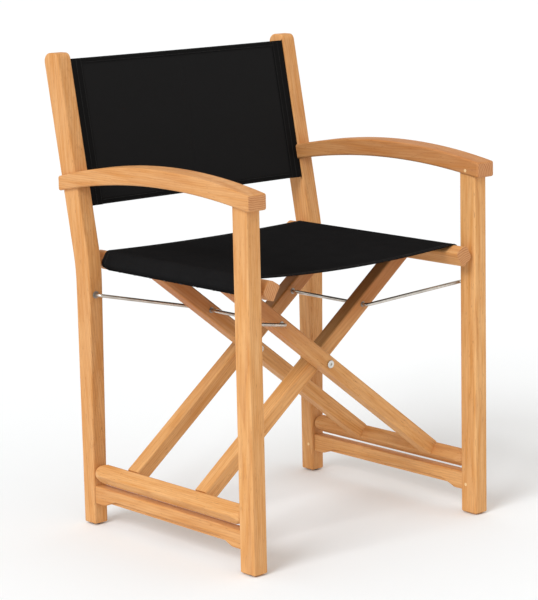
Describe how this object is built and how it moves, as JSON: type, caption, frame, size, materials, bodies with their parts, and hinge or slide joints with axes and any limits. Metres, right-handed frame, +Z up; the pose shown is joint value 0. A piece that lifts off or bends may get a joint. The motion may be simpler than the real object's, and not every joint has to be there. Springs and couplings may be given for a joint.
{
  "type": "director chair",
  "caption": "Folding wooden director chair with crossed legs on turning lower rails, arched armrests, bent steel stays and black mesh seat and back slings.",
  "frame": {"origin": "on the floor, under the middle of the whole chair", "axes": "+Z up, +Y towards the back, +X to the right as seen from the front"},
  "size_m": [0.5936, 0.576, 0.878],
  "materials": {
    "teak": "fine-sanded straight-grained golden teak, unvarnished",
    "teak_pegs": "end-grain wooden pegs sanded flush",
    "stainless_steel": "satin-drawn stainless rod and turned fittings",
    "black_mesh": "matte black coated mesh cloth with stitched hems",
    "grey_plastic": "moulded grey nylon"
  },
  "bodies": {
    "left_side_frame": {"front_post_left": "teak", "back_post_left": "teak", "armrest_left": "teak", "lower_stretcher_left": "teak", "joint_pegs_left": "teak_pegs", "stay_bushes_left": "stainless_steel", "floor_glides_left": "grey_plastic", "back_sling_rod_left": "grey_plastic", "back_sling": "black_mesh"},
    "right_rising_legs": {"cross_leg_front_inner": "teak", "cross_leg_rear_outer": "teak", "seat_rail_right": "teak", "pivot_rail_left": "teak", "leg_bushes_right": "stainless_steel", "pivot_pins_left": "stainless_steel", "seat_tacks_right": "stainless_steel"},
    "left_rising_legs": {"cross_leg_front_outer": "teak", "cross_leg_rear_inner": "teak", "seat_rail_left": "teak", "pivot_rail_right": "teak", "leg_bushes_left": "stainless_steel", "pivot_pins_right": "stainless_steel", "cross_bolts": "stainless_steel", "cross_bolt_nuts": "stainless_steel", "cross_washers": "stainless_steel", "seat_tacks_left": "stainless_steel", "seat_sling": "black_mesh"},
    "right_side_frame": {"front_post_right": "teak", "back_post_right": "teak", "armrest_right": "teak", "lower_stretcher_right": "teak", "joint_pegs_right": "teak_pegs", "stay_bushes_right": "stainless_steel", "floor_glides_right": "grey_plastic", "back_sling_rod_right": "grey_plastic"},
    "left_stay": {"stay_left": "stainless_steel"},
    "right_stay": {"stay_right": "stainless_steel"}
  },
  "joints": [
    {"name": "fold", "type": "hinge", "parent": "left_side_frame", "child": "right_rising_legs", "pos_m": [-0.2754, 0, 0.101], "axis": [0, -1, 0], "range_deg": [0, 40.5], "deforming": ["seat_sling", "back_sling"]},
    {"name": "cross_pivot", "type": "hinge", "parent": "right_rising_legs", "child": "left_rising_legs", "pos_m": [0, 0, 0.315], "axis": [0, -1, 0], "range_deg": [-90.1, 0]},
    {"name": "right_frame_pivot", "type": "hinge", "parent": "left_rising_legs", "child": "right_side_frame", "pos_m": [0.2754, 0, 0.101], "axis": [0, -1, 0], "range_deg": [0, 40.6]},
    {"name": "left_stay_pivot", "type": "hinge", "parent": "left_rising_legs", "child": "left_stay", "pos_m": [-0.1149, 0, 0.4055], "axis": [0, -1, 0], "range_deg": [0, 128.3]},
    {"name": "right_stay_pivot", "type": "hinge", "parent": "right_rising_legs", "child": "right_stay", "pos_m": [0.1149, 0, 0.4055], "axis": [0, -1, 0], "range_deg": [-128.3, 0]}
  ],
  "couplings": [
    {"joint": "cross_pivot", "follows": "fold", "ratio": -2.2222},
    {"joint": "right_frame_pivot", "follows": "fold", "ratio": 1},
    {"joint": "left_stay_pivot", "follows": "fold", "ratio": 3.1556},
    {"joint": "right_stay_pivot", "follows": "fold", "ratio": -3.1556}
  ]
}
